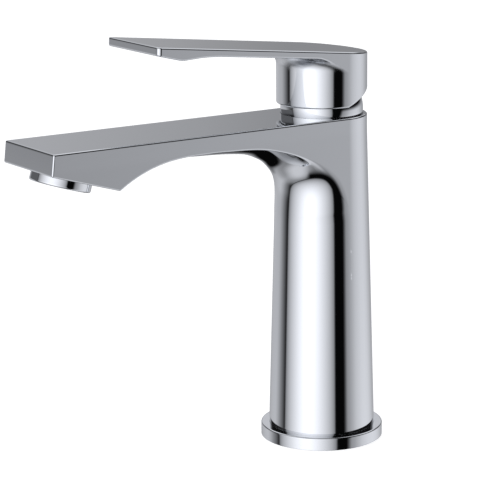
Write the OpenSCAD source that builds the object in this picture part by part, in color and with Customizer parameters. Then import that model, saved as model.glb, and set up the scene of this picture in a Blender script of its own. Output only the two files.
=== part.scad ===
// Single-lever basin mixer: tapered column, flat cantilevered spout with an
// arched underside, flat lever over a ball neck, ceramic-disc cartridge inside.
// Origin: column axis at the deck. +Z up, the spout and the lever point to -Y.

/* [Base] */
// width of the flange's ledge round the column
flange_w = 3.45; // [3:0.05:5]
// height of the base flange above the deck
flange_h = 5.5; // [5:0.1:7]
// thickness of the rubber gasket under the flange
gasket_t = 1.5; // [1.2:0.1:2]
// diameter of the column where it enters the flange
foot_d = 45.1; // [44.4:0.1:46]
// diameter of the two threaded supply inlets
inlet_d = 10; // [9:0.1:10.4]
// diameter of the threaded hole for the fixing stud
stud_d = 6; // [5:0.5:6.6]

/* [Body and spout] */
// width of the spout, which is also the diameter of the column top
head_d = 38; // [37.6:0.1:39]
// height of the body top at the back of the column
body_h = 140; // [132:0.5:150]
// distance from the column axis to the top edge of the spout tip
spout_reach = 139.8; // [136:0.2:150]
// rise of the spout top from its back to its tip
spout_rise = 1.2; // [0.8:0.1:2]
// thickness of the spout plate at its side edges
plate_t = 6.7; // [6.4:0.1:8]
// height of the flat tip face
tip_h = 8.6; // [8:0.1:9.6]
// slope of the outlet face, in degrees
outlet_tilt = 16.7; // [14:0.1:18]
// length of the outlet face along the spout
outlet_len = 30.2; // [29.6:0.1:32]
// radius of the hollow that runs up behind the outlet face
outlet_blend_r = 60; // [50:1:70]
// large radius of the arch between spout and column
arch_r = 50; // [44:1:56]
// small radius where the arch meets the column
arch_foot_r = 12; // [10:0.5:14]
// depth of the belly under the spout near the column
belly_d = 4.2; // [3.6:0.1:5]

/* [Lever] */
// diameter of the ball neck between body and lever
ball_d = 34.8; // [34:0.1:35.2]
// diameter of the lever's round hub, and width of its blade
handle_d = 38; // [37.8:0.1:39]
// distance from the column axis to the lever tip
lever_reach = 91.3; // [84:0.2:100]
// slope of the lever's top face, in degrees
lever_slope = 6.3; // [5:0.1:7.5]
// thickness of the lever blade
blade_t = 3.2; // [3:0.1:4]
// thickness of the grip lip near the lever tip
lip_t = 5.1; // [4.6:0.1:6]
// full travel of the lever from closed to open, in degrees
lift_angle = 22; // [16:1:22]

/* [Cartridge] */
// outer diameter of the cartridge housing
cart_d = 24.8; // [24.4:0.1:25]
// diameter of the moving ceramic disc
disc_d = 16.4; // [15.6:0.1:16.6]
// width across flats of the square lever stem
stem_w = 6.4; // [6:0.1:6.6]
// diameter of the stem's hinge pin
pin_d = 3; // [2.6:0.1:3.2]

/* [Aerator] */
// outer diameter of the aerator's visible ring
aerator_d = 24.6; // [24:0.1:26]
// height of the visible ring below the outlet face
aerator_h = 3.4; // [3:0.1:4.5]

/* [Hidden] */
$fn = 96;
eps = 0.01;
gap = 0.3;            // clearance between pieces that move apart
fit = 0.05;           // radial clearance of a shaft in its hole
edge = 0.6;           // small bevel on turned edges
tall = 400;           // reaches past everything, for cuts

foot_r = foot_d / 2;
flange_r = foot_r + flange_w;
head_r = head_d / 2;
handle_r = handle_d / 2;

// levels and places of the body
plate_z = body_h - plate_t;
tip_top_z = body_h + spout_rise;
tip_low_z = tip_top_z - tip_h;
tip_low_y = -spout_reach - 1;
knee_y = tip_low_y + outlet_len;
knee_z = tip_low_z - outlet_len * tan(outlet_tilt);
knee_drop = plate_z - knee_z;
blend_y = knee_y + sqrt(2 * outlet_blend_r * knee_drop - knee_drop * knee_drop);
arch_low_z = plate_z - 21.2;
foot_lip_r = 15.8;    // boss that reaches the deck through the gasket
core_wall = 4.2;      // wall of the cast column
core_z0 = 46;         // bottom of the cast hollow
core_z1 = body_h - 38;

function column_r(z) =
    foot_r + (head_r - foot_r) * (z - flange_h) / (plate_z - flange_h);

// arch arcs, seen in a half section through the column axis
arc_foot = [column_r(arch_low_z) - 0.04 + arch_foot_r, arch_low_z];
arc_main_z = plate_z - arch_r;
arc_main = [arc_foot[0] + sqrt(pow(arch_r - arch_foot_r, 2)
            - pow(arch_low_z - arc_main_z, 2)), arc_main_z];
arc_dir = (arc_foot - arc_main) / norm(arc_foot - arc_main);

// cartridge levels, counted from the body top
chamber_z = body_h - 28;
base_z0 = chamber_z + 0.6;
fixed_z0 = chamber_z + 7;
moving_z0 = fixed_z0 + 3.5 + gap;
carrier_z0 = moving_z0 + 3.5;
carrier_z1 = carrier_z0 + 4.9;
rotor_z0 = carrier_z1 + gap;
shoulder_z = body_h - 2.9;
housing_z1 = body_h - 0.5;
ring_z1 = housing_z1 + 1.9;
rotor_z1 = body_h + 8.5;
pivot_z = body_h + 3.5;
socket_z = body_h + 16;
stem_z1 = body_h + 22;
thread_z = body_h - 5.5;
seat_z = body_h - 1.4;
stem_ball_z = body_h - 10.5;
stem_ball_r = 2.9;

cart_r = cart_d / 2;
chamber_r = cart_r + 1.2;
thread_r = 15;
nut_bore_r = cart_r + 0.15;
housing_bore_r = cart_r - 1.1;
rotor_r = housing_bore_r - gap;
neck_r = rotor_r - 1.5;
port_x = 5.8;
port_y = -1.5;
port_r = 2.6;
channel_r = 2.8;
inlet_x = 7.6;
inlet_depth = 14;
outlet_port_y = 4.6;
stud_y = -11;
stud_depth = 16;
vent_y = 11.5;
// the disc rests off centre, so that its travel runs evenly to both sides
disc_travel = (pivot_z - stem_ball_z) * sin(lift_angle);
disc_y = disc_travel / 2;

// ball neck and lever hub
ball_r = ball_d / 2;
ball_wall = 1.6;
ball_mouth_r = 13.6;
ball_z1 = body_h + 12.7;
cup_r = ball_r + gap + fit;
hub_z0 = body_h + 4.5;
hub_back_z = body_h + 25.4;
hub_core_r = 6;
blend_r = 6;
tip_corner_r = 2.5;
grip_y = -lever_reach + 23;      // where the grip starts to thicken
lip_y0 = -lever_reach + 9.8;     // its thickest part, from here
lip_y1 = -lever_reach + 12.3;    // to here
tip_t = 3.6;
screw_r = 2;
screw_l = 6;
screw_z = body_h + 20.5;
plug_r = 3.6;

function lever_top(y) = hub_back_z + (handle_r - y) * tan(lever_slope);
function blade_low(y) = lever_top(y) - blade_t;

// outlet frame: origin on the outlet face, -Z out of the spout
outlet_y = knee_y - outlet_len / 2;
outlet_z = knee_z + (knee_y - outlet_y) * tan(outlet_tilt);
aerator_thread_r = 11;
bore_up = 7;
water_r = 8.6;
ring_r = aerator_d / 2;

// ---- shared shapes ----

// ring about the column axis
module ring(r_out, r_in, z0, z1) {
    translate([0, 0, z0]) difference() {
        cylinder(h = z1 - z0, r = r_out);
        translate([0, 0, -1]) cylinder(h = z1 - z0 + 2, r = r_in);
    }
}

// upright drill through a place in plan
module drill(x, y, r, z0, z1) {
    translate([x, y, z0]) cylinder(h = z1 - z0, r = r);
}

// shape drawn in (y, z), extruded across the width
module across(half_w) {
    translate([-half_w, 0, 0]) rotate([90, 0, 90])
        linear_extrude(height = 2 * half_w) children();
}

// shape drawn in (x, z), extruded from y = 0 to the front
module forward(length) {
    rotate([90, 0, 0]) linear_extrude(height = length) children();
}

module at_outlet() {
    translate([0, outlet_y, outlet_z]) rotate([-outlet_tilt, 0, 0]) children();
}

// ---- body ----

// cross section of the spout: straight plate, sides drafted like the column
module spout_section(z_low) {
    polygon([
        [-column_r(z_low), z_low], [column_r(z_low), z_low],
        [head_r, plate_z], [head_r, tip_top_z + 3],
        [-head_r, tip_top_z + 3], [-head_r, plate_z]
    ]);
}

// side view of the plate and of the deeper outlet block at its end
module plate_side() {
    difference() {
        polygon([
            [0, plate_z], [0, tip_top_z + 3], [-spout_reach, tip_top_z + 3],
            [-spout_reach, tip_top_z], [tip_low_y, tip_low_z],
            [knee_y, knee_z], [blend_y, knee_z], [blend_y, plate_z]
        ]);
        translate([blend_y, plate_z - outlet_blend_r]) circle(r = outlet_blend_r, $fn = 360);
    }
}

// half section of the arch: a small arc up from the column, then a large one
module arch_section() {
    far = arc_main + arc_dir * (arch_r + 15);
    difference() {
        translate([head_r - 3, arch_low_z])
            square([arc_main[0] - head_r + 3, plate_z + 0.5 - arch_low_z]);
        intersection() {
            translate(arc_main) circle(r = arch_r, $fn = 360);
            polygon([arc_main, far, [arc_main[0] + 1, far[1]],
                [arc_main[0] + 1, arc_main[1]]]);
        }
        translate(arc_foot) circle(r = arch_foot_r, $fn = 180);
    }
}

module arch() {
    intersection() {
        rotate([0, 0, 180]) rotate_extrude(angle = 180) arch_section();
        forward(arc_main[0] + 1) spout_section(arch_low_z - 2);
    }
}

// shallow round belly that carries the waterway down into the arch
module belly() {
    belly_r = 47;
    intersection() {
        translate([0, -50, plate_z - belly_d + belly_r]) rotate([90 - 5, 0, 0])
            cylinder(h = 120, r = belly_r, center = true, $fn = 360);
        translate([0, -20, 0]) forward(78) polygon([
            [-head_r, plate_z - 12], [head_r, plate_z - 12],
            [head_r, plate_z + 0.4], [-head_r, plate_z + 0.4]
        ]);
    }
}

module body_outside() {
    difference() {
        union() {
            cylinder(h = gasket_t + 1, r = foot_lip_r);
            translate([0, 0, gasket_t])
                cylinder(h = plate_z - gasket_t, r1 = column_r(gasket_t), r2 = column_r(plate_z));
            drill(0, 0, head_r, plate_z - eps, tip_top_z + 3);
            intersection() {
                forward(spout_reach + 2) spout_section(knee_z - 2);
                across(head_r + 2) plate_side();
            }
            arch();
            belly();
        }
        // the top face rises a little to the tip
        across(head_r + 3) polygon([
            [head_r + 2, body_h - 2 * spout_rise / spout_reach],
            [-spout_reach - 3, tip_top_z + 3 * spout_rise / spout_reach],
            [-spout_reach - 3, tip_top_z + 9], [head_r + 2, tip_top_z + 9]
        ]);
    }
}

// mixed water runs from the cartridge chamber to the outlet
module waterway() {
    intersection() {
        across(15.5) polygon([
            [-11, plate_z - 6.8], [-18, plate_z - 6.8], [-34, plate_z - 1.4],
            [-58, plate_z + 1.7], [-112, plate_z + 1.7], [outlet_y - 8, plate_z + 3.5],
            [outlet_y - 8, tip_top_z - 2.2], [-34, body_h - 2.2],
            [-18, body_h - 8.5], [-11, body_h - 8.5]
        ]);
        // narrow at the chamber, wide in the plate
        linear_extrude(height = tall) polygon([
            [-9, 0], [9, 0], [11, -20], [15.5, -34], [15.5, outlet_y - 9],
            [-15.5, outlet_y - 9], [-15.5, -34], [-11, -20]
        ]);
    }
}

// cast hollow of the column, with the two supply risers left standing
module column_hollow() {
    difference() {
        translate([0, 0, core_z0]) cylinder(h = core_z1 - core_z0,
            r1 = column_r(core_z0) - core_wall, r2 = column_r(core_z1) - core_wall);
        for (s = [-1, 1])
            drill(s * port_x, port_y, channel_r + 2.2, core_z0 - 1, core_z1 + 1);
        translate([-port_x, port_y - 1.5, core_z0 - 1])
            cube([2 * port_x, 3, core_z1 - core_z0 + 2]);
    }
}

module body() {
    color("Silver") difference() {
        body_outside();
        // cartridge chamber, thread for the nut, seat of the ball neck
        drill(0, 0, chamber_r, chamber_z, body_h);
        drill(0, 0, thread_r, thread_z, body_h);
        drill(0, 0, ball_r - 0.15, seat_z, body_h + 4);
        for (s = [-1, 1]) {
            drill(s * port_x, port_y, channel_r, inlet_depth - 1, chamber_z + 1);
            drill(s * inlet_x, port_y, inlet_d / 2, -1, inlet_depth);
        }
        drill(0, stud_y, stud_d / 2, -1, stud_depth);
        drill(0, vent_y, 2.5, -1, core_z0 + 1);
        column_hollow();
        waterway();
        at_outlet() {
            translate([0, 0, -1]) cylinder(h = bore_up + 1, r = aerator_thread_r);
            cylinder(h = bore_up + 2.4, r = water_r);
        }
    }
}

// ---- base ----

module base_flange() {
    color("Silver") difference() {
        rotate_extrude() polygon([
            [foot_r - 2, 0], [flange_r - 0.3, 0], [flange_r, 0.3],
            [flange_r, flange_h - edge], [flange_r - edge, flange_h],
            [foot_r - 2, flange_h]
        ]);
        // the column stands inside, with a hairline gap round it
        translate([0, 0, -1]) cylinder(h = flange_h + 2,
            r1 = column_r(-1) + 0.15, r2 = column_r(flange_h + 1) + 0.15);
        drill(0, 0, flange_r - 1.8, -1, gasket_t);
        // groove of the O-ring
        translate([0, 0, 3.4]) rotate_extrude()
            translate([column_r(3.4) + 0.82, 0]) circle(r = 0.85, $fn = 48);
    }
}

module flange_o_ring() {
    color("DimGray") translate([0, 0, 3.4]) rotate_extrude()
        translate([column_r(3.4) + 0.82, 0]) circle(r = 0.8, $fn = 48);
}

module base_gasket() {
    color("DimGray") ring(flange_r - 2, foot_lip_r + 0.1, 0, gasket_t);
}

// ---- neck and cartridge ----

module ball_neck() {
    color("Silver") difference() {
        intersection() {
            translate([0, 0, pivot_z]) sphere(r = ball_r, $fn = 180);
            drill(0, 0, ball_r + 1, seat_z, ball_z1);
        }
        intersection() {
            translate([0, 0, pivot_z]) sphere(r = ball_r - ball_wall, $fn = 180);
            drill(0, 0, ball_r, body_h + 1.2, ball_z1 + 1);
        }
        drill(0, 0, ball_mouth_r, body_h + 2, ball_z1 + 1);
        // thread on the upper half of the nut
        drill(0, 0, thread_r + 0.02, seat_z - 1, body_h + 2);
    }
}

module retaining_nut() {
    color("Goldenrod") difference() {
        drill(0, 0, thread_r - fit, thread_z + 1.5, body_h + 1.1);
        drill(0, 0, nut_bore_r, thread_z, body_h + 2);
        // four slots for the pin spanner
        for (a = [0 : 90 : 270]) rotate([0, 0, a + 45])
            translate([nut_bore_r - 1, -1.25, body_h - 1.4]) cube([6, 2.5, 4]);
    }
}

module cartridge_housing() {
    color("Ivory") difference() {
        union() {
            drill(0, 0, cart_r, base_z0 + 0.4, housing_z1);
            drill(0, 0, thread_r - 0.2, thread_z, thread_z + 1.5);
        }
        drill(0, 0, housing_bore_r, base_z0, shoulder_z + gap);
        drill(0, 0, neck_r + gap, shoulder_z, housing_z1 + 1);
        // O-ring groove under the flange, and the window for mixed water
        ring(cart_r + 1, cart_r - 0.7, thread_z - 2.6, thread_z - 0.8);
        translate([-3.5, housing_bore_r - 3, base_z0 + 1.2]) cube([7, 8, 3.6]);
    }
}

module housing_o_ring() {
    color("DimGray") translate([0, 0, thread_z - 1.7]) rotate_extrude()
        translate([cart_r + 0.22, 0]) circle(r = 0.88, $fn = 48);
}

// temperature stop: the rotor's tab turns between its two lugs
module limit_ring() {
    color("Crimson") union() {
        ring(cart_r - 0.1, neck_r + gap, housing_z1, ring_z1);
        for (a = [-70, 70]) intersection() {
            ring(cart_r - 0.1, neck_r + 0.8, ring_z1 - 0.5, ring_z1 + 2);
            rotate([0, 0, a]) translate([-1.5, 0, ring_z1 - 0.5]) cube([3, cart_r, 3]);
        }
    }
}

module port_holes(r, z0, z1) {
    for (s = [-1, 1]) drill(s * port_x, port_y, r, z0, z1);
}

module cartridge_base() {
    color("Gainsboro") difference() {
        drill(0, 0, housing_bore_r - 0.1, base_z0, fixed_z0);
        port_holes(port_r, base_z0 - 1, fixed_z0 + 1);
        port_holes(4.6, base_z0 - 1, base_z0 + 1.8);
        // mixed water leaves through the window at the back
        drill(0, outlet_port_y, 2.4, base_z0 + 1.9, fixed_z0 + 1);
        translate([-2.4, outlet_port_y, base_z0 + 1.9]) cube([4.8, 9, 2.9]);
    }
}

module inlet_seals() {
    color("DimGray") for (s = [-1, 1]) translate([s * port_x, port_y, 0])
        ring(4.5, channel_r + 0.2, chamber_z, base_z0 + 1.8);
}

module fixed_disc() {
    color("White") difference() {
        drill(0, 0, housing_bore_r - 0.2, fixed_z0, fixed_z0 + 3.5);
        port_holes(2.4, fixed_z0 - 1, fixed_z0 + 5);
        drill(0, outlet_port_y, 2.4, fixed_z0 - 1, fixed_z0 + 5);
    }
}

// the pocket underneath joins the inlets to the outlet when the disc slides
module moving_disc() {
    color("White") difference() {
        drill(0, disc_y, disc_d / 2, moving_z0, moving_z0 + 3.5);
        intersection() {
            drill(0, disc_y, disc_d / 2 - 1.3, moving_z0 - 1, moving_z0 + 1.8);
            translate([-20, 1.6, moving_z0 - 2]) cube([40, 20, 6]);
        }
    }
}

module disc_carrier() {
    color("Gainsboro") difference() {
        drill(0, disc_y, disc_d / 2, carrier_z0, carrier_z1);
        drill(0, 0, stem_ball_r + gap + fit, carrier_z0 - 1, carrier_z1 + 1);
    }
}

module cartridge_rotor() {
    slot_half = stem_w / 2 + gap;
    color("Ivory") difference() {
        union() {
            drill(0, 0, rotor_r, rotor_z0, shoulder_z);
            drill(0, 0, neck_r, shoulder_z - 1, rotor_z1);
            // stop tab, over the limit ring
            intersection() {
                ring(cart_r - 0.5, neck_r - 1, ring_z1 + gap, ring_z1 + 2);
                translate([-1.5, 0, ring_z1]) cube([3, cart_r, 3]);
            }
        }
        // slot in which the stem swings
        translate([-slot_half, -8.8, rotor_z0 - 1]) cube([2 * slot_half, 14.4, 30]);
        rotate([0, 90, 0]) translate([-pivot_z, 0, -20])
            cylinder(h = 40, r = pin_d / 2 + 0.02, $fn = 64);
    }
}

module stem_pin() {
    color("Silver") rotate([0, 90, 0]) translate([-pivot_z, 0, 0])
        cylinder(h = 2 * neck_r - 1, r = pin_d / 2, center = true, $fn = 64);
}

module lever_stem() {
    color("Goldenrod") difference() {
        union() {
            translate([-stem_w / 2, -stem_w / 2, stem_ball_z + 7.5])
                cube([stem_w, stem_w, stem_z1 - stem_ball_z - 7.5]);
            drill(0, 0, 2, stem_ball_z, stem_ball_z + 8);
            translate([0, 0, stem_ball_z]) sphere(r = stem_ball_r, $fn = 64);
        }
        rotate([0, 90, 0]) translate([-pivot_z, 0, -5])
            cylinder(h = 10, r = pin_d / 2 + fit, $fn = 64);
    }
}

// ---- lever ----

// outline of hub and blade from above, with rounded tip corners
module lever_plan() {
    inner_y = -lever_reach + tip_corner_r;
    circle(r = handle_r);
    translate([-handle_r, inner_y]) square([handle_d, -inner_y]);
    translate([-handle_r + tip_corner_r, -lever_reach])
        square([handle_d - 2 * tip_corner_r, lever_reach]);
    for (s = [-1, 1]) translate([s * (handle_r - tip_corner_r), inner_y])
        circle(r = tip_corner_r);
}

// side view of the blade: flat top, grip lip under the tip
module blade_side() {
    tip_z = lever_top(-lever_reach);
    polygon([
        [handle_r + 1, hub_back_z - 12], [handle_r + 1, lever_top(handle_r + 1)],
        [-lever_reach - 1, lever_top(-lever_reach - 1)],
        [-lever_reach - 1, tip_z - tip_t], [lip_y0, lever_top(lip_y0) - lip_t],
        [lip_y1, lever_top(lip_y1) - lip_t], [grip_y, blade_low(grip_y)],
        [0, blade_low(0)], [0, hub_back_z - 12]
    ]);
}

// side view of the round hub, under the same sloping top
module hub_side() {
    y = handle_r + 1;
    polygon([[y, hub_z0], [y, lever_top(y)], [-y, lever_top(-y)], [-y, hub_z0]]);
}

// fillet between the hub and the underside of the blade
module hub_blend() {
    top_z = blade_low(-handle_r - blend_r) - 0.1;
    intersection() {
        rotate([0, 0, 180]) rotate_extrude(angle = 180) difference() {
            translate([handle_r - 3, top_z - blend_r])
                square([blend_r + 3, blend_r + 2]);
            translate([handle_r + blend_r - 0.02, top_z - blend_r])
                circle(r = blend_r, $fn = 128);
        }
        linear_extrude(height = tall) lever_plan();
        across(handle_r + 1) polygon([
            [1, lever_top(1) - 20], [1, lever_top(1) - 1],
            [-handle_r - blend_r - 2, lever_top(-handle_r - blend_r - 2) - 1],
            [-handle_r - blend_r - 2, lever_top(1) - 20]
        ]);
    }
}

module lever() {
    color("Silver") difference() {
        union() {
            intersection() {
                linear_extrude(height = tall) lever_plan();
                across(handle_r + 1) blade_side();
            }
            intersection() {
                drill(0, 0, handle_r, hub_z0, tall);
                across(handle_r + 1) hub_side();
            }
            hub_blend();
        }
        difference() {
            union() {
                translate([0, 0, pivot_z]) sphere(r = cup_r, $fn = 180);
                drill(0, 0, cup_r, hub_z0 - 2, pivot_z + 1.5);
            }
            drill(0, 0, hub_core_r, socket_z, stem_z1 + 5);
        }
        // the hub's foot is cut away at the back to clear the body when raised
        across(handle_r + 2) polygon([
            [0, hub_z0], [handle_r + 3, hub_z0 + (handle_r + 3) * tan(lift_angle)],
            [handle_r + 3, hub_z0 - 4], [0, hub_z0 - 4]
        ]);
        translate([-stem_w / 2 - fit, -stem_w / 2 - fit, socket_z - 1])
            cube([stem_w + 2 * fit, stem_w + 2 * fit, stem_z1 - socket_z + 1.2]);
        translate([0, stem_w / 2, screw_z]) rotate([-90, 0, 0]) cylinder(h = 30, r = screw_r);
        translate([0, handle_r - 3.5, screw_z]) rotate([-90, 0, 0]) cylinder(h = 10, r = plug_r);
    }
}

module set_screw() {
    color("DimGray") translate([0, stem_w / 2 + fit, screw_z]) rotate([-90, 0, 0]) difference() {
        cylinder(h = screw_l, r = screw_r - fit);
        translate([0, 0, screw_l - 2.5]) cylinder(h = 4, r = 1.15, $fn = 6);
    }
}

// two-colour mark: one half for hot, one for cold, on a push-in plug
module index_plug() {
    color("Silver") translate([0, handle_r - 3.4, screw_z]) rotate([-90, 0, 0]) difference() {
        union() {
            cylinder(h = 2.6, r = plug_r - fit);
            translate([0, 0, 2.5]) cylinder(h = 0.6, r1 = plug_r - fit, r2 = plug_r - 0.5);
        }
        translate([0, 0, -1]) cylinder(h = 2, r = plug_r - 1.2);
    }
}

// ---- aerator ----

module aerator_shell() {
    color("Silver") at_outlet() rotate_extrude() polygon([
        [9.6, -aerator_h], [ring_r - 1.2, -aerator_h], [ring_r - 0.35, -aerator_h + 0.35],
        [ring_r, -aerator_h + 1.2], [ring_r, -0.35], [ring_r - 0.25, -0.1],
        [aerator_thread_r - fit, -0.1], [aerator_thread_r - fit, bore_up - 1.2],
        [9.6, bore_up - 1.2]
    ]);
}

module aerator_insert() {
    color("Gainsboro") at_outlet() difference() {
        translate([0, 0, -aerator_h + 0.5]) cylinder(h = bore_up - 1.8 + aerator_h - 0.5, r = 9.55);
        // honeycomb of jets
        for (q = [-3 : 3], r = [-3 : 3]) {
            x = 2.5 * (q + r / 2);
            y = 2.5 * r * sin(60);
            if (norm([x, y]) < 8) translate([x, y, -aerator_h - 1])
                cylinder(h = bore_up + aerator_h + 2, r = 0.85, $fn = 32);
        }
    }
}

module aerator_screen() {
    color("Gainsboro") at_outlet() difference() {
        translate([0, 0, bore_up - 1.8]) cylinder(h = 0.6, r = 9.55);
        for (n = [0 : 17]) rotate([0, 0, n * 20]) translate([6.6, 0, 0])
            cylinder(h = bore_up, r = 0.5, $fn = 24);
        for (n = [0 : 9]) rotate([0, 0, n * 36]) translate([3.6, 0, 0])
            cylinder(h = bore_up, r = 0.5, $fn = 24);
        cylinder(h = bore_up, r = 0.5, $fn = 24);
    }
}

module aerator_washer() {
    color("DimGray") at_outlet() ring(aerator_thread_r - 0.1, 8.4, bore_up - 1.2, bore_up);
}

body();
base_flange();
flange_o_ring();
base_gasket();
ball_neck();
retaining_nut();
cartridge_housing();
housing_o_ring();
limit_ring();
cartridge_base();
inlet_seals();
fixed_disc();
moving_disc();
disc_carrier();
cartridge_rotor();
stem_pin();
lever_stem();
lever();
set_screw();
index_plug();
aerator_shell();
aerator_insert();
aerator_screen();
aerator_washer();
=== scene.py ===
"""Single-lever basin mixer: the chrome skin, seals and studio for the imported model."""

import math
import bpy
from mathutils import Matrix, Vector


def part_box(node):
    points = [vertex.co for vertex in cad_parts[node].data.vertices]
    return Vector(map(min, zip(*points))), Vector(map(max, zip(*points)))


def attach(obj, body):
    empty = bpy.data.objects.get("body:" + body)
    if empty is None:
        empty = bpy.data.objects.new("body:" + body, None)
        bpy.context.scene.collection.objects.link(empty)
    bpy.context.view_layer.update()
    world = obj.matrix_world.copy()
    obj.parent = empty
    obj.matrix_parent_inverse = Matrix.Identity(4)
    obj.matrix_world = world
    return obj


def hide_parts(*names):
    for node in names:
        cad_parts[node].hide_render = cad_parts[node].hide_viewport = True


bl_info = {
    "name": "Basin mixer",
    "version": (1, 0, 0),
    "blender": (4, 5, 0),
    "location": "3D View > Sidebar > Mixer",
    "description": "Dresses a single-lever basin mixer in polished chrome",
    "category": "Add Mesh",
}

import bmesh
import bpy
import numpy as np
from bpy.props import FloatProperty, PointerProperty, StringProperty
from bpy.types import Operator, Panel, PropertyGroup
from mathutils import Matrix, Vector

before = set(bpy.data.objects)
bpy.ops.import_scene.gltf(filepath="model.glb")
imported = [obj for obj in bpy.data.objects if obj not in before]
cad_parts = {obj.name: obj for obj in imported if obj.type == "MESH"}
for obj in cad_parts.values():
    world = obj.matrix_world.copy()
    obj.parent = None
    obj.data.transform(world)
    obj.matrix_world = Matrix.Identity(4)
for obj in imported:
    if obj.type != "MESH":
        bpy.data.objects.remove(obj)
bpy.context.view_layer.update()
MM = 0.001
SECTION_STEPS = 64   # steps of a half section, from its middle to the side
CORNER_STEPS = 8     # steps round a corner of the side view
PROFILE_STEPS = 6    # steps round a corner of a turned profile
EDGE_STEPS = 14      # steps of a section round its side edge
HOLE_STEPS = 64      # steps round half of the seat and of the outlet
FLAT_STEPS = SECTION_STEPS - EDGE_STEPS   # steps of a section before its side edge
FLAT_ROW = 0.25      # flat row beside a rounding, which keeps the flats' shading flat
SAME_POINT = 2e-4    # points closer than this are merged
# angles from the side round to the back
BACK_TURNS = [math.pi / 2 * (1 + k / SECTION_STEPS) for k in range(SECTION_STEPS + 1)]


# ---- settings ----

def millimetres(name, description, default):
    return FloatProperty(name=name, description=description, default=default, min=0.05)


class BodySizes(PropertyGroup):
    """Sizes of the cast body, in millimetres."""

    top_r: millimetres("Top radius", "Radius of the column top, half the spout width", 19.0)
    height: millimetres("Height", "Height of the body top over the axis at the back", 140.0)
    rise: millimetres("Rise", "Rise of the spout top from back to tip", 1.2)
    edge_r: millimetres("Edge radius", "Small radius on the polished edges", 0.7)
    ring_r: millimetres("Ring radius", "Radius of the aerator ring", 12.3)
    flange_r: millimetres("Flange radius", "Radius of the base flange", 26.0)
    flange_h: millimetres("Flange height", "Height of the base flange", 5.5)


class LeverSizes(PropertyGroup):
    """Sizes of the lever and of the ball neck, in millimetres."""

    hub_r: millimetres("Hub radius", "Radius of the hub, half the blade width", 19.0)
    hub_bottom: millimetres("Hub bottom", "Height of the hub's lower rim", 144.5)
    back_top: millimetres("Back height", "Height of the lever top at its back", 165.45)
    reach: millimetres("Reach", "Distance from the column axis to the lever tip", 92.4)
    slope: FloatProperty(name="Slope", description="Slope of the lever top",
                         default=math.radians(6.3), subtype="ANGLE")
    fillet_r: millimetres("Fillet radius", "Fillet between hub and blade", 5.4)
    tip_corner_r: millimetres("Tip corner", "Radius of the tip's upright corners", 1.7)
    edge_r: millimetres("Edge radius", "Small radius on the polished edges", 0.7)
    ball_r: millimetres("Ball radius", "Radius of the ball neck", 17.4)
    ball_z: millimetres("Ball height", "Height of the ball's centre", 143.5)
    neck_r: millimetres("Neck radius", "Radius of the round neck under the lever", 17.3)
    neck_z: millimetres("Neck height", "Height of the neck's widest part", 142.0)


class Colours(PropertyGroup):
    """Colours of the finishes, as sRGB hex values."""

    chrome: StringProperty(name="Chrome", description="Chrome plate", default="#E9EBEE")
    rubber: StringProperty(name="Rubber", description="Gasket and O-rings", default="#232426")
    jet_plastic: StringProperty(name="Jet plastic", description="Aerator insert",
                                default="#C9CCD0")
    hot: StringProperty(name="Hot", description="Hot half of the index mark", default="#B3261E")
    cold: StringProperty(name="Cold", description="Cold half of the index mark", default="#1F4E9E")


# ---- mesh helpers, all in millimetres ----

def through(stations, steps):
    """Points on a smooth curve through the stations, in any number of dimensions."""
    p = np.array(stations, float)
    t = np.concatenate([[0], np.cumsum(np.linalg.norm(np.diff(p, axis=0), axis=1))])
    h = np.diff(t)
    n = len(t)
    a, b = np.eye(n), np.zeros_like(p)
    for i in range(1, n - 1):
        a[i, i - 1:i + 2] = h[i - 1], 2 * (h[i - 1] + h[i]), h[i]
        b[i] = 6 * ((p[i + 1] - p[i]) / h[i] - (p[i] - p[i - 1]) / h[i - 1])
    bend = np.linalg.solve(a, b)
    out = []
    for i in range(n - 1):
        count = max(1, round(h[i] * steps))
        for k in range(count + (i == n - 2)):
            u = k / count * h[i]
            slope = (p[i + 1] - p[i]) / h[i] - h[i] * (2 * bend[i] + bend[i + 1]) / 6
            out.append(p[i] + u * slope + u * u * bend[i] / 2
                       + u ** 3 * (bend[i + 1] - bend[i]) / (6 * h[i]))
    return out


def quarter(steps):
    """Angles through a quarter turn."""
    return [math.pi / 2 * k / steps for k in range(steps + 1)]


def round_axis(r, angle):
    """The x and y of a point at a radius, by its angle from the front."""
    return r * math.sin(angle), -r * math.cos(angle)


def corner_drop(x, half, r):
    """Share of its radius by which a rounded edge has dropped, x from the middle of the face."""
    t = min(1.0, (x - half + r) / r)
    return 0.0 if t <= 0 else 1 - math.sqrt(1 - t * t)


def skin(bm, sections):
    """A row of edges, extruded from each section of points to the next."""
    row = [bm.verts.new(p) for p in sections[0]]
    edges = [bm.edges.new(pair) for pair in zip(row, row[1:])]
    for section in sections[1:]:
        made = bmesh.ops.extrude_edge_only(bm, edges=edges)["geom"]
        fresh = {g for g in made if isinstance(g, bmesh.types.BMVert)}
        row = [next(e.other_vert(v) for e in v.link_edges if e.other_vert(v) in fresh)
               for v in row]
        for v, p in zip(row, section):
            v.co = p
        edges = [bm.edges.get(pair) for pair in zip(row, row[1:])]


def turned(bm, profile, steps, angle=2 * math.pi, start=-math.pi / 2):
    """A profile of (radius, height) turned about Z, from the given direction."""
    verts = [bm.verts.new((r * math.cos(start), r * math.sin(start), z)) for r, z in profile]
    edges = [bm.edges.new(pair) for pair in zip(verts, verts[1:])]
    full = abs(angle - 2 * math.pi) < 1e-9
    bmesh.ops.spin(bm, geom=verts + edges, cent=(0, 0, 0), axis=(0, 0, 1),
                   angle=angle, steps=steps, use_merge=full)


def swing(a, b, share):
    """Vector a turned towards b by a share of the angle between them."""
    turn = a.angle(b)
    return (a * math.sin((1 - share) * turn) + b * math.sin(share * turn)) / math.sin(turn)


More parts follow.
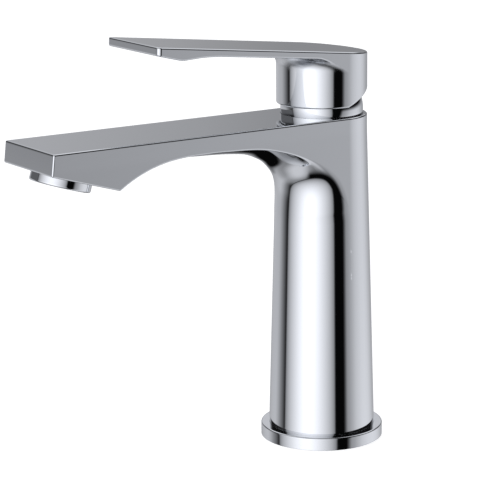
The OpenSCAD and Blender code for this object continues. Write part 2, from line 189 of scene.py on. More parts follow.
def rounded_profile(corners):
    """A turned profile with its corners rounded: rows of radius, height and corner radius."""
    out = []
    for i, (x, z, r) in enumerate(corners):
        here = Vector((x, z))
        if r <= 0 or i in (0, len(corners) - 1):
            out.append((x, z))
            continue
        to_last = (Vector(corners[i - 1][:2]) - here).normalized()
        to_next = (Vector(corners[i + 1][:2]) - here).normalized()
        half = to_last.angle(to_next) / 2
        reach = r / math.tan(half)
        centre = here + (to_last + to_next).normalized() * (r / math.sin(half))
        a, b = here + to_last * reach - centre, here + to_next * reach - centre
        out.append(tuple(here + to_last * (reach + FLAT_ROW)))
        out += [tuple(centre + swing(a, b, k / PROFILE_STEPS))
                for k in range(PROFILE_STEPS + 1)]
        out.append(tuple(here + to_next * (reach + FLAT_ROW)))
    return out


def object_from(bm, name, *materials):
    """The finished piece: seams closed, faces outwards, smooth, in metres."""
    bmesh.ops.remove_doubles(bm, verts=bm.verts, dist=SAME_POINT)
    bmesh.ops.dissolve_degenerate(bm, edges=bm.edges, dist=1e-5)
    loose = [v for v in bm.verts if not v.link_faces]
    bmesh.ops.delete(bm, geom=loose, context="VERTS")
    bmesh.ops.recalc_face_normals(bm, faces=bm.faces)
    bmesh.ops.scale(bm, vec=(MM, MM, MM), verts=bm.verts)
    for f in bm.faces:
        f.smooth = True
    mesh = bpy.data.meshes.new(name)
    bm.to_mesh(mesh)
    bm.free()
    piece = bpy.data.objects.new(name, mesh)
    bpy.context.scene.collection.objects.link(piece)
    for m in materials:
        mesh.materials.append(m)
    flats = piece.modifiers.new("flats_stay_flat", "WEIGHTED_NORMAL")
    flats.mode = "FACE_AREA"
    flats.weight = 100
    return piece


def both_sides(bm):
    """Mirrors a half built on the +X side."""
    bmesh.ops.remove_doubles(bm, verts=bm.verts, dist=SAME_POINT)
    for v in bm.verts:
        if abs(v.co.x) < 1e-3:
            v.co.x = 0
    bmesh.ops.mirror(bm, geom=bm.verts[:] + bm.edges[:] + bm.faces[:],
                     matrix=Matrix.Identity(4), merge_dist=1e-4, axis="X")


def inner_strip(bm, face, width):
    """A thin strip inside a flat face, which keeps its shading flat up to its edge."""
    bmesh.ops.inset_region(bm, faces=[face], thickness=width, depth=0,
                           use_even_offset=True, use_boundary=True)


def cut_across(bm, faces, levels, axis, dist):
    """Cuts flat faces at levels along an axis; the vertices of all their parts."""
    for level in levels:
        geom = faces + [e for f in faces for e in f.edges] + [v for f in faces for v in f.verts]
        made = bmesh.ops.bisect_plane(bm, geom=list(set(geom)), dist=dist,
                                      plane_co=axis * level, plane_no=axis)
        faces = [g for g in made["geom"] if isinstance(g, bmesh.types.BMFace)]
    return {v for f in faces for v in f.verts}


def without_repeats(points):
    """The points, less those that lie on the one before them."""
    kept = []
    for p in points:
        if not kept or (Vector(p) - Vector(kept[-1])).length > 1e-3:
            kept.append(p)
    return kept


# ---- the cast body ----

# paired stations (y, z of the side edge; y, z of the middle line; radius of the side
# edge) from the column's front, up through the arch and along the belly to the plate
ARCH_STATIONS = [
    (0.0, 98.0, None, 95.0, 13.0),
    (-0.6, 103.0, -19.92, 99.0, 13.0),
    (-2.5, 108.0, -19.70, 103.5, 13.0),
    (-5.4, 112.1, -19.68, 108.1, 12.0),
    (-8.8, 115.9, -20.45, 112.7, 10.0),
    (-15.1, 121.4, -23.52, 117.59, 5.5),
    (-21.4, 125.4, -27.32, 121.15, 2.2),
    (-27.8, 128.15, -32.31, 123.96, 1.2),
    (-34.2, 130.1, -37.32, 126.05, 1.0),
    (-40.4, 131.55, -42.0, 127.41, 0.95),
    (-50.0, 132.7, -50.46, 128.66, 0.9),
    (-60.0, 133.15, -59.96, 129.57, 0.8),
    (-66.0, 133.4, -66.0, 129.88, 0.7),
    (-72.0, 133.4, -72.1, 130.36, 0.6),
    (-78.0, 133.3, -78.13, 131.59, 0.5),
]
# x, y, radius and depth of the holes in the foot
FOOT_HOLES = [(-7.6, -1.5, 5.0, 14.0), (7.6, -1.5, 5.0, 14.0),
              (0.0, -11.0, 3.0, 16.0), (0.0, 11.5, 2.5, 20.0)]
DRAFT = 0.02778      # taper of the column and of the spout's sides
SHOULDER_Z = 133.3   # above it the column is straight
SHOULDER_SOFT = 0.7  # height over which the taper fades out
FRONT_R = 13.0       # radius of the side edge where the column is still round
JOINT_Z = 1.5        # height of the joint face under the flange
BOSS_R = 15.8        # radius of the boss that reaches the deck
# corners of the spout in the side view: y, z
TIP_TOP = (-139.8, 141.2)
TIP_LOW = (-140.8, 132.6)
KNEE = (-110.6, 123.54)
KNEE_R = 0.7         # rounding of the knee
TOP_START_Y = -24.0  # where the rows of the top's rim begin
RIM_STATIONS = [-18.0, -12.0, -6.0]
HOLLOW = (-78.19, 73.05, 60.0)   # centre and radius of the hollow behind the outlet
SEAT_R = 17.36       # radius of the seat round the neck
# steps of the cartridge chamber and of the outlet: radius, height
CHAMBER = [(15.0, 138.6), (15.0, 134.5), (13.6, 134.5), (13.6, 112.0), (0.0, 112.0)]
OUTLET = [(11.2, 0.0), (11.2, 7.0), (8.6, 7.0), (8.6, 9.4), (0.0, 9.4)]
# heights of the side's cuts, where its taper changes, and of the rows at the back
SIDE_LEVELS = [131.4, 132.3, 133.0, 133.6, 134.3, 135.2]
BACK_LEVELS = [104, 108, 112, 116, 120, 124, 128, 130] + SIDE_LEVELS + [136.6, 138.4]
AERATOR_TILT = math.atan2(TIP_LOW[1] - KNEE[1], KNEE[0] - TIP_LOW[0])


def flank(z, s):
    """Radius of the column, and half width of the spout, at a height."""
    t = (SHOULDER_Z - z) / SHOULDER_SOFT
    return s.top_r + DRAFT * SHOULDER_SOFT * (t if t > 30 else math.log1p(math.exp(t)))


def top_z(y, s):
    """Height of the spout's sloping top."""
    return s.height + (s.top_r - y) * s.rise / (s.top_r - TIP_TOP[0])


def rounded_side(s, half):
    """Steps of the rounding beside a flat face: distance from the middle, share of the drop."""
    return [(half - s.edge_r + s.edge_r * math.sin(a), s.edge_r * (1 - math.cos(a)))
            for a in quarter(EDGE_STEPS)]


def section(row, s):
    """Half a cross section: an arc from the middle of the belly to a rounded side edge."""
    edge, middle, inward, e = Vector(row[:2]), Vector(row[2:4]), Vector(row[4:6]), row[6]
    rise = (edge - middle).length
    half = flank(edge.y, s)
    if rise < 0.01:
        local = [((half - e) * k / FLAT_STEPS, 0.0) for k in range(FLAT_STEPS)]
        local += rounded_side(s, half)
    else:
        inward = (edge - middle).normalized()
        r, inner = half, math.pi / 2
        if rise < half:
            r = (half * half + rise * rise) / (2 * rise)
            inner = math.asin((half - e) / (r - e))
        squash = max(1.0, rise / half)
        local = [(r * math.sin(inner * k / FLAT_STEPS),
                  squash * r * (1 - math.cos(inner * k / FLAT_STEPS)))
                 for k in range(FLAT_STEPS)]
        for k in range(EDGE_STEPS + 1):
            a = inner + (math.pi / 2 - inner) * k / EDGE_STEPS
            local.append(((r - e) * math.sin(inner) + e * math.sin(a),
                          squash * (r - (r - e) * math.cos(inner) - e * math.cos(a))))
    out = []
    for x, q in local:
        p = middle + inward * q
        out.append((x / half * flank(p.y, s), p.x, p.y))
    return out


def round_corner(last, here, then, r, s):
    """Rows round a corner of the side view, with a flat row on each side of it."""
    here = Vector(here)
    a, b = (here - Vector(last)).normalized(), (Vector(then) - here).normalized()
    na, nb = Vector((-a.y, a.x)), Vector((-b.y, b.x))
    reach = r * math.tan(a.angle(b) / 2)
    centre = here - a * reach - na * r
    rows = [(here - a * (reach + FLAT_ROW), na)]
    for k in range(CORNER_STEPS + 1):
        n = swing(na, nb, k / CORNER_STEPS)
        rows.append((centre + n * r, n))
    rows.append((here + b * (reach + FLAT_ROW), nb))
    return [(p.x, p.y, p.x, p.y, -n.x, -n.y, s.edge_r) for p, n in rows]


def hollow_row(y, s):
    """A row of the hollow behind the outlet."""
    cy, cz, r = HOLLOW
    z = cz + math.sqrt(r * r - (y - cy) ** 2)
    return (y, z, y, z, (y - cy) / r, (z - cz) / r, s.edge_r)


def spine(s):
    """Rows of the body's skin from the foot, under the spout and round its tip."""
    base = [(0.0, z, -flank(z, s), z, FRONT_R) for z in (72.0, 85.0)]
    arch = [(e, ez, -flank(mz, s) if m is None else m, mz, r)
            for e, ez, m, mz, r in ARCH_STATIONS]
    hollow = [hollow_row(y, s)[:4] + (s.edge_r,) for y in (-84.0, -87.0, -90.0)]
    rows = [(0.0, z, -flank(z, s), z, 1.0, 0.0, FRONT_R)
            for z in [JOINT_Z + k * (70.5 / 30) for k in range(30)]]
    for ey, ez, my, mz, r in through(base + arch + hollow, 0.9):
        if my < -84.01:
            break
        rows.append((0.0 if ey > -0.03 else ey, ez, my, mz, 0.0, 1.0, max(s.edge_r, r)))
    y = -85.0
    while y > KNEE[0] + 0.8:
        rows.append(hollow_row(y, s))
        y -= 1.0
    cy, cz, r = HOLLOW
    behind = (KNEE[0] + (KNEE[1] - cz) / r, KNEE[1] - (KNEE[0] - cy) / r)
    rows += round_corner(behind, KNEE, TIP_LOW, KNEE_R, s)
    outlet = len(rows)
    rows += round_corner(KNEE, TIP_LOW, TIP_TOP, s.edge_r, s)
    rows += round_corner(TIP_LOW, TIP_TOP, (0.0, top_z(0.0, s)), s.edge_r, s)
    z = top_z(TOP_START_Y, s)
    rows.append((TOP_START_Y, z, TOP_START_Y, z, 0.0, -1.0, s.edge_r))
    return rows, outlet


def body_half(bm, s):
    """The +X half of the body's skin: belly, tip, back of the column and rim of the top."""
    rows, outlet = spine(s)
    sections = [section(r, s) for r in rows]
    for r, sec in zip(rows, sections):
        if r[0] == 0.0:
            sec[-1] = (flank(r[1], s), 0.0, r[1])
    skin(bm, sections[:outlet])
    skin(bm, [sec[FLAT_STEPS:] for sec in sections[outlet - 1:outlet + 1]])
    skin(bm, sections[outlet:])

    # back of the column, from its side round to the back
    side_z = [sec[-1][2] for r, sec in zip(rows, sections) if r[0] == 0.0]
    low_z = side_z[-1]
    levels = [z for z in BACK_LEVELS if z > low_z + 0.5]
    around = []
    for z in side_z + levels + ["below edge", "edge"]:
        row = []
        for a in BACK_TURNS:
            y = -s.top_r * math.cos(a)
            level = z
            if z == "below edge":
                level = top_z(y, s) - s.edge_r - FLAT_ROW
            elif z == "edge":
                level = top_z(y, s) - s.edge_r
            row.append((*round_axis(flank(level, s), a), level))
        around.append(row)
    skin(bm, around)

    # rim of the top face, from the spout round the back
    rim = [[(x, y, top_z(y, s) - drop) for x, drop in rounded_side(s, s.top_r)]
           for y in [TOP_START_Y] + RIM_STATIONS]
    for a in BACK_TURNS:
        row = [(*round_axis(r, a), drop) for r, drop in rounded_side(s, s.top_r)]
        rim.append([(x, y, top_z(y, s) - drop) for x, y, drop in row])
    skin(bm, rim)
    bmesh.ops.remove_doubles(bm, verts=bm.verts, dist=SAME_POINT)
    return rows, sections, side_z, levels, rim, outlet


def half_turn(r):
    """Points of a half circle on the +X side."""
    return [round_axis(r, math.pi * k / HOLE_STEPS) for k in range(HOLE_STEPS + 1)]


def to_outlet():
    """From the aerator's own frame to its place under the spout."""
    middle = (0, (KNEE[0] + TIP_LOW[0]) / 2, (KNEE[1] + TIP_LOW[1]) / 2)
    return Matrix.Translation(middle) @ Matrix.Rotation(-AERATOR_TILT, 4, "X")


def fill_flat(bm, points):
    """One flat face through points that are already in the mesh."""
    return bm.faces.new([bm.verts.new(p) for p in points])


def make_body_mesh(bm, s):
    """The cast body with its spout, chamber, outlet and foot."""
    rows, sections, side_z, levels, rim, outlet = body_half(bm, s)

    # the flat side, cut at the levels where its taper changes
    outline = [sec[-1] for r, sec in zip(rows, sections) if r[0] < 0.0]
    outline = [(flank(side_z[-1], s), 0.0, side_z[-1])] + outline
    outline += [(s.top_r, y, top_z(y, s) - s.edge_r) for y in RIM_STATIONS + [0.0]]
    outline += [(s.top_r, 0.0, top_z(0.0, s) - s.edge_r - FLAT_ROW)]
    outline += [(flank(z, s), 0.0, z) for z in reversed(levels)]
    flat = fill_flat(bm, [(s.top_r, y, z) for x, y, z in without_repeats(outline)])
    inner_strip(bm, flat, 0.18)
    cut = [f for f in bm.faces if all(abs(v.co.x - s.top_r) < 1e-6 for v in f.verts)]
    for v in cut_across(bm, cut, SIDE_LEVELS, Vector((0, 0, 1)), 0.03):
        v.co.x = flank(v.co.z, s)

    # top face round the seat of the ball neck
    seat = [(x, y, top_z(y, s)) for x, y in half_turn(SEAT_R)]
    last = sections[-1]
    fill_flat(bm, last[:FLAT_STEPS + 1] + [row[0] for row in rim[1:]] + seat[::-1])
    lift, chamfer = 0.14, 0.02
    seat_wall = [(SEAT_R, s.height + lift), (SEAT_R - chamfer, s.height + 0.1),
                 (SEAT_R - chamfer, CHAMBER[0][1])]
    before = set(bm.verts)
    turned(bm, seat_wall + CHAMBER, HOLE_STEPS, angle=math.pi)
    for v in set(bm.verts) - before:
        if v.co.z > CHAMBER[0][1] + 0.4:
            v.co.z += top_z(v.co.y, s) - s.height - lift

    # outlet face round the aerator's bore
    frame_out = to_outlet()
    bore = [frame_out @ Vector((x, y, 0)) for x, y in half_turn(OUTLET[0][0])]
    near, far = sections[outlet - 1], sections[outlet]
    fill_flat(bm, near[:FLAT_STEPS + 1] + far[FLAT_STEPS::-1] + bore)
    before = set(bm.verts)
    turned(bm, OUTLET, HOLE_STEPS, angle=math.pi)
    bmesh.ops.transform(bm, matrix=frame_out, verts=list(set(bm.verts) - before))

    # the joint face under the flange, and the boss that reaches the deck
    foot = [(flank(JOINT_Z, s), JOINT_Z), (BOSS_R, JOINT_Z), (BOSS_R, 0.0)]
    turned(bm, foot, FLAT_STEPS, angle=math.pi / 2)
    turned(bm, foot, SECTION_STEPS, angle=math.pi / 2, start=0.0)
    both_sides(bm)

    # the foot, with its inlets, stud hole and core opening
    edges = [e for e in bm.edges if e.is_boundary
             and all(abs(v.co.z) < 1e-4 for v in e.verts)]
    for x, y, r, depth in FOOT_HOLES:
        circle = bmesh.ops.create_circle(bm, segments=48, radius=r, cap_ends=False,
                                         matrix=Matrix.Translation((x, y, 0)))["verts"]
        ring = list({e for v in circle for e in v.link_edges})
        edges += ring
        made = bmesh.ops.extrude_edge_only(bm, edges=ring)["geom"]
        up = [g for g in made if isinstance(g, bmesh.types.BMVert)]
        bmesh.ops.translate(bm, vec=(0, 0, depth), verts=up)
        bottom = [g for g in made if isinstance(g, bmesh.types.BMEdge)
                  and all(v in set(up) for v in g.verts)]
        bmesh.ops.contextual_create(bm, geom=bottom)
    bmesh.ops.triangle_fill(bm, use_beauty=True, edges=edges)


# ---- the lever ----

# thickness of the blade along its length: the grip swells under the tip
BLADE_STATIONS = [(-96.0, 3.0), (-93.0, 3.4), (-90.5, 3.75), (-88.7, 4.02), (-86.9, 4.28),
                  (-85.0, 4.55), (-83.2, 4.81), (-81.6, 4.99), (-80.6, 5.02), (-79.4, 4.9),
                  (-77.6, 4.6), (-75.7, 4.3), (-73.9, 4.01), (-72.0, 3.74), (-70.1, 3.53),
                  (-68.2, 3.37), (-66.3, 3.26), (-64.4, 3.17), (-62.0, 3.11), (-58.0, 3.1),
                  (-50.0, 3.1), (20.0, 3.1)]
BACK_CUT = math.radians(22)   # the hub's foot rises at the back, to clear the body
CUP_GAP = 0.35                # between the ball and the hub's cup
TIP_LEAN = 0.05               # slope of the lever's end face
FILLET_STEPS = 14             # steps of the fillet under the blade and of the tip's corners
# cuts along the blade behind the grip, and heights of the upper rows at the hub's back
BLADE_CUTS = [-55.0, -48.0, -40.0, -32.0, -26.0, -20.0, -16.5]
HUB_LEVELS = [161.0, 163.0, 165.0]


def blade_curve():
    """Thickness of the blade at a distance from the axis."""
    points = np.array(through(BLADE_STATIONS, 4))
    return lambda y: float(np.interp(y, points[:, 0], points[:, 1]))


def make_lever_mesh(bm, s):
    """The lever with its hub, the cup over the ball and the blade."""
    tall = math.tan(s.slope)
    thick = blade_curve()
    R, r, w = s.fillet_r, s.edge_r, s.hub_r

    def top(y):
        return s.back_top + (w - y) * tall

    def low(y):
        return top(y) - thick(y)

    def hub_low(y):
        return s.hub_bottom + max(0.0, y) * math.tan(BACK_CUT)

    # steps across the half, closer towards the side; the side edge begins at flat_j
    steps = [math.sin(a) * w for a in quarter(SECTION_STEPS)]
    flat_j = next(j for j in range(SECTION_STEPS) if steps[j + 3] > w - r)

    def front_y(x, rho):
        return -math.sqrt(max(0.0, rho * rho - x * x))

    # front of the hub, and the fillet under the blade, which share a softer finish
    hub_front = [(x, front_y(x, w)) for x in steps]
    wall = [[(x, y, s.hub_bottom + r + (low(y) - R - s.hub_bottom - r) * k)
             for x, y in hub_front] for k in [0.0, 0.02] + [k / 10 for k in range(1, 11)]]
    fillet = []
    for k in range(1, FILLET_STEPS + 1):
        t = math.pi / 2 * k / FILLET_STEPS
        rho = w + R * (1 - math.cos(t))
        row = []
        for x in steps:
            y = front_y(x, rho)
            normal_x = math.cos(t) * x / rho
            move = r * corner_drop(x, w, r) * (1 - normal_x ** 2)
            row.append((x, y - math.cos(t) * y / rho * move,
                        low(y) - R * (1 - math.sin(t)) + math.sin(t) * move))
        fillet.append(row)
    skin(bm, wall + fillet)
    for face in bm.faces:
        face.material_index = 1

    # outline of the lever: front, tip corner, side, back
    c = s.tip_corner_r
    tip = -s.reach
    levels = [tip + c + FLAT_ROW + 0.7 * k for k in range(44)] + BLADE_CUTS
    front = [((x, tip), (0.0, 1.0)) for x in (0.0, 6.0, 12.0, w - c - FLAT_ROW)]
    corner = [((w - c + c * math.sin(a), tip + c - c * math.cos(a)),
               (-math.sin(a), math.cos(a))) for a in quarter(FILLET_STEPS)]
    side = [((w, y), (-1.0, 0.0)) for y in levels]
    ahead = [((w, y), (-1.0, 0.0)) for y in (-10.0, -5.0)]
    back = [(round_axis(w, a), round_axis(-1.0, a)) for a in BACK_TURNS]

    def rim(path, face, sign):
        rows = []
        for (x, y), (nx, ny) in path:
            row = []
            for j in range(flat_j, SECTION_STEPS + 1):
                inset = w - steps[j]
                drop = r * corner_drop(steps[j], w, r)
                py = y + ny * inset
                row.append((x + nx * inset, py, face(py) + sign * drop))
            rows.append(row)
        return rows

    top_rim = rim(front + corner + side + ahead + back, top, -1)
    skin(bm, top_rim)
    fill_flat(bm, [(0.0, 0.0, top(0.0))] + [row[0] for row in top_rim])

    low_rim = rim(front + corner + side, low, 1)
    low_rim.append(fillet[-1][flat_j:])
    skin(bm, low_rim)
    loop = [(0.0, tip + 20.0, 0.0)] + [(row[0][0], row[0][1], 0.0) for row in low_rim]
    loop += [(p[0], p[1], 0.0) for p in reversed(fillet[-1][:flat_j])]
    for v in cut_across(bm, [fill_flat(bm, loop)], levels, Vector((0, 1, 0)), 1e-3):
        v.co.z = low(v.co.y)

    # wall of the tip, the flat side, and the back of the hub
    tip_wall = []
    for (x, y), _ in front + corner:
        a, b = low(y) + r, top(y) - r
        tip_wall.append([(x, y, z) for z in (a, a + FLAT_ROW, b - FLAT_ROW, b)])
    skin(bm, tip_wall)
    a, b = low(tip + c) + r, top(tip + c) - r
    outline = [(tip + c, a)] + [(y, low(y) + r) for y in levels]
    outline += [(row[-1][1], row[-1][2]) for row in reversed(fillet)]
    hub_z = [row[-1][2] for row in wall]
    upper = HUB_LEVELS + [top(0) - r - FLAT_ROW, top(0) - r]
    outline += [(0.0, z) for z in hub_z[-1:] + upper]
    outline += [(y, top(y) - r) for y in [-5.0, -10.0] + levels[::-1]]
    outline += [(tip + c, z) for z in (b, b - FLAT_ROW, a + FLAT_ROW)]
    flat = fill_flat(bm, [(w, y, z) for y, z in without_repeats(outline)])
    inner_strip(bm, flat, 0.15)

    z0, z1 = hub_z[0], upper[-1]
    hub_back = []
    for z in hub_z + upper:
        f = (z - z0) / (z1 - z0)
        row = []
        for a in BACK_TURNS:
            x, y = round_axis(w, a)
            lo, hi = hub_low(y) + r, top(y) - r
            row.append((x, y, lo + f * (hi - lo)))
        hub_back.append(row)
    skin(bm, hub_back)

    # foot of the hub and the cup over the ball
    cup_r = s.ball_r + CUP_GAP
    foot = []
    for a in quarter(SECTION_STEPS) + BACK_TURNS[1:]:
        def at(rho, lift):
            x, y = round_axis(rho, a)
            return (x, y, hub_low(y) + lift)
        inner = cup_r
        for _ in range(30):
            z = at(inner, 0.0)[2] - s.ball_z
            inner = math.sqrt(max(1.0, cup_r ** 2 - z * z))
        row = []
        polar = math.asin(min(1.0, inner / cup_r))
        for k in range(20):
            t = polar * k / 20
            row.append((*round_axis(cup_r * math.sin(t), a), s.ball_z + cup_r * math.cos(t)))
        row += [at(rho, 0.0) for rho in (inner, inner + 0.12, w - r - 0.1)]
        row += [at(w - r * (1 - math.sin(t)), r * (1 - math.cos(t)))
                for t in quarter(CORNER_STEPS)]
        foot.append(row)
    skin(bm, foot)
    for v in bm.verts:
        if v.co.y < tip + c + 0.1:
            v.co.y += TIP_LEAN * (v.co.z - low(tip))
    both_sides(bm)


# ---- turned pieces ----

NECK_WALL = 1.6
NECK_LOW, NECK_HIGH = 138.64, 152.7   # ends of the neck
NECK_BORE, BORE_TOP = 15.1, 142.0     # radius and upper end of its straight bore


def make_neck_mesh(bm, s):
    """The neck: a hollow barrel between the body's seat and the lever."""
    low, high = NECK_LOW, NECK_HIGH

    def radius(z, r, middle):
        return math.sqrt(r * r - (z - middle) ** 2)

    step = (high - 0.3 - low) / 40
    outer = [(radius(low + step * k, s.neck_r, s.neck_z), low + step * k) for k in range(41)]
    rise = [BORE_TOP + (high - BORE_TOP) * k / 12 for k in range(12, -1, -1)]
    inner = [(radius(z, s.ball_r - NECK_WALL, s.ball_z), z) for z in rise]
    profile = [(NECK_BORE, low)] + outer + [(outer[-1][0] - 0.25, high)] + inner + [
        (NECK_BORE, BORE_TOP), (NECK_BORE, low)]
    turned(bm, profile, 128)


def make_flange_mesh(bm, s):
    """The flange round the foot, with the groove of its O-ring."""
    r, h = s.flange_r, s.flange_h

    def bore(z):
        return flank(z, s) + 0.03

    recess_r = 24.2
    low, high, deep = 2.7, 4.1, 0.7   # the O-ring's groove
    corners = [(recess_r, JOINT_Z, 0), (recess_r, 0.0, 0), (r, 0.0, 0.12), (r, h, 0.55),
               (bore(h), h, 0.02), (bore(4.2), high, 0)]
    profile = rounded_profile(corners)
    profile += [(bore(low) + deep, high), (bore(low) + deep, low), (bore(low), low),
                (bore(JOINT_Z), JOINT_Z), (recess_r, JOINT_Z)]
    turned(bm, profile, 160)


def make_aerator_mesh(bm, s):
    """The aerator's ring: a shell in the outlet with a collar below it."""
    r, shell_r, bore_r = s.ring_r, 11.0, 9.6
    inside, below = 5.8, -3.8   # heights of its ends, from the outlet's face
    corners = [(shell_r, inside, 0), (shell_r, 0.12, 0), (r - 0.3, 0.12, 0.15),
               (r - 0.05, -0.3, 0.1), (r, below, 0.7), (9.9, below, 0.3),
               (bore_r, -3.3, 0), (bore_r, inside, 0), (shell_r, inside, 0)]
    turned(bm, rounded_profile(corners), 128)
    bmesh.ops.transform(bm, matrix=to_outlet(), verts=bm.verts)


def make_plug_mesh(bm, s, screw_z):
    """The index plug, domed, over the set screw."""
    face = [(0.0, 0.45), (1.2, 0.42), (2.2, 0.34), (2.9, 0.22), (3.3, 0.05), (3.5, -0.25),
            (3.5, -2.0), (0.0, -2.0)]
    turned(bm, face, 64)
    place = Matrix.Translation((0, s.hub_r, screw_z)) @ Matrix.Rotation(-math.pi / 2, 4, "X")
    bmesh.ops.transform(bm, matrix=place, verts=bm.verts)


# ---- materials ----

def grey(value):
    """A display grey as a linear one."""
    return value / 12.92 if value <= 0.04045 else ((value + 0.055) / 1.055) ** 2.4


def linear(value):
    """An sRGB hex colour as linear red, green, blue and alpha."""
    return [grey(int(value[i:i + 2], 16) / 255) for i in (1, 3, 5)] + [1.0]


def add(tree, kind, links=(), **settings):
    """A node with its settings; links are (input, source node, output)."""
    node = tree.nodes.new(kind)
    for name, value in settings.items():
        if name.startswith("in_"):
            key = name[3:]
            node.inputs[int(key) if key.isdigit() else key.replace("_", " ")].default_value = value
        else:
            setattr(node, name, value)
    for target, source, output in links:
        tree.links.new(source.outputs[output], node.inputs[target])
    return node


def placed(tree, kind="ShaderNodeTexNoise", **settings):
    """A node that starts from the piece's own coordinates."""
    place = add(tree, "ShaderNodeTexCoord")
    return add(tree, kind, [("Vector", place, "Object")], **settings)


def soft(tree, measure, socket, start, end, full=1.0):
    """A smooth blend from 0 at the start of a measure to full at its end."""
    return add(tree, "ShaderNodeMapRange", [("Value", measure, socket)],
               interpolation_type="SMOOTHSTEP", in_1=start, in_2=end, in_4=full)


def material(name, base, metallic, roughness):
    """A material, its nodes and its shader."""
    m = bpy.data.materials.new(name)
    m.use_nodes = True
    shader = m.node_tree.nodes["Principled BSDF"]
    shader.inputs["Base Color"].default_value = linear(base)
    shader.inputs["Metallic"].default_value = metallic
    shader.inputs["Roughness"].default_value = roughness
    return m, m.node_tree, shader


def vary_roughness(tree, shader, grain, low, high):
    """Lets the roughness follow a pattern, between low and high."""
    rough = add(tree, "ShaderNodeMapRange", [("Value", grain, "Fac")], in_3=low, in_4=high)
    tree.links.new(rough.outputs["Result"], shader.inputs["Roughness"])


def raise_grain(tree, shader, grain, strength, height):
    """Gives the surface the relief of a pattern."""
    bump = add(tree, "ShaderNodeBump", [("Height", grain, "Fac")],
               in_Strength=strength, in_Distance=height)
    tree.links.new(bump.outputs["Normal"], shader.inputs["Normal"])


def polished_chrome(name, colour):
    """Chrome plate on polished brass: a mirror whose polish varies very slightly."""
    m, tree, shader = material(name, colour, 1.0, 0.05)
    wipe = placed(tree, in_Scale=60.0, in_Detail=3.0, in_Roughness=0.6)
    vary_roughness(tree, shader, wipe, 0.03, 0.06)
    return m


# the corner under the blade, in metres: where the rougher finish begins and is full
CORNER_HEIGHT = (0.1585, 0.1625)
CORNER_RADIUS = (0.0242, 0.0225)
CORNER_ROUGHNESS = 0.22


def corner_chrome(name, colour):
    """Chrome in the corner under the blade: softer, where the polishing wheel can't reach."""
    m = polished_chrome(name, colour)
    tree = m.node_tree
    shader = tree.nodes["Principled BSDF"]
    polish = shader.inputs["Roughness"].links[0].from_node
    axes = placed(tree, "ShaderNodeSeparateXYZ")
    flat = placed(tree, "ShaderNodeVectorMath", operation="MULTIPLY", in_1=(1, 1, 0))
    out = add(tree, "ShaderNodeVectorMath", [(0, flat, 0)], operation="LENGTH")
    deep = soft(tree, axes, "Z", *CORNER_HEIGHT, full=CORNER_ROUGHNESS)
    near = soft(tree, out, "Value", *CORNER_RADIUS)
    rough = add(tree, "ShaderNodeMath", [(0, deep, 0), (1, near, 0), (2, polish, 0)],
                operation="MULTIPLY_ADD")
    tree.links.new(rough.outputs[0], shader.inputs["Roughness"])
    return m


def moulded_rubber(name, colour):
    """Moulded EPDM rubber: matt, with the fine grain of the mould."""
    m, tree, shader = material(name, colour, 0.0, 0.75)
    raise_grain(tree, shader, placed(tree, in_Scale=2500.0, in_Detail=2.0), 0.25, 0.00005)
    return m


def moulded_plastic(name, colour):
    """Injection-moulded POM: satin, with a faint flow pattern."""
    m, tree, shader = material(name, colour, 0.0, 0.42)
    vary_roughness(tree, shader, placed(tree, in_Scale=400.0, in_Detail=4.0), 0.36, 0.48)
    return m


def turned_brass(name):
    """Turned CW617N brass: fine tool marks round the axis."""
    m, tree, shader = material(name, "#C8A45A", 1.0, 0.28)
    marks = placed(tree, "ShaderNodeTexWave", bands_direction="Z",
                   in_Scale=1500.0, in_Distortion=0.4, in_Detail=1.0)
    raise_grain(tree, shader, marks, 0.2, 0.00003)
    return m


def lapped_ceramic(name):
    """Sintered alumina, lapped: white, dense and very smooth."""
    m, tree, shader = material(name, "#F1EFE8", 0.0, 0.16)
    vary_roughness(tree, shader, placed(tree, in_Scale=3000.0, in_Detail=1.0), 0.12, 0.2)
    return m


def machined_steel(name):
    """Machined stainless steel: grey, with a fine turned grain."""
    m, tree, shader = material(name, "#A9ABAE", 1.0, 0.3)
    vary_roughness(tree, shader, placed(tree, in_Scale=1200.0, in_Detail=2.0), 0.24, 0.36)
    return m


def index_enamel(name, hot, cold):
    """Filled enamel mark: red on the hot side, blue on the cold side, chrome round it."""
    m, tree, shader = material(name, "#E9ECF2", 0.0, 0.2)
    axes = placed(tree, "ShaderNodeSeparateXYZ")
    side = add(tree, "ShaderNodeMath", [(0, axes, "X")], operation="GREATER_THAN", in_1=0.0)
    mix = add(tree, "ShaderNodeMix", [("Factor", side, "Value")], data_type="RGBA",
              in_6=linear(hot), in_7=linear(cold))
    tree.links.new(mix.outputs[2], shader.inputs["Base Color"])
    return m


# ---- operators, one for each piece or group ----

FINISHES = {}
MARK_R = 2.1   # radius of the enamel mark on the index plug


def finish_named(name, make, *args):
    """A finish, made when it's first asked for."""
    if name not in FINISHES:
        FINISHES[name] = make(name, *args)
    return FINISHES[name]


def chrome():
    """The finish of all plated pieces."""
    return finish_named("polished_chrome", polished_chrome,
                        bpy.context.scene.mixer_colours.chrome)


def rubber():
    """The finish of all seals."""
    return finish_named("moulded_epdm_rubber", moulded_rubber,
                        bpy.context.scene.mixer_colours.rubber)


def dress(finish, *nodes):
    """Gives CAD nodes their finish."""
    for node in nodes:
        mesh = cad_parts[node].data
        mesh.materials.clear()
        mesh.materials.append(finish)


def chromed(name, shape, *sizes, also=()):
    """A plated piece, from the function that shapes it."""
    bm = bmesh.new()
    shape(bm, *sizes)
    return object_from(bm, name, chrome(), *also)


class MIXER_OT_body(Operator):
    """Builds the chrome-plated cast body with its spout"""

    bl_idname = "mixer.body"
    bl_label = "Body and spout"

    def execute(self, context):
        piece = chromed("body_casting", make_body_mesh, context.scene.mixer_body)
        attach(piece, "faucet")
        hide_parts("body")
        return {"FINISHED"}


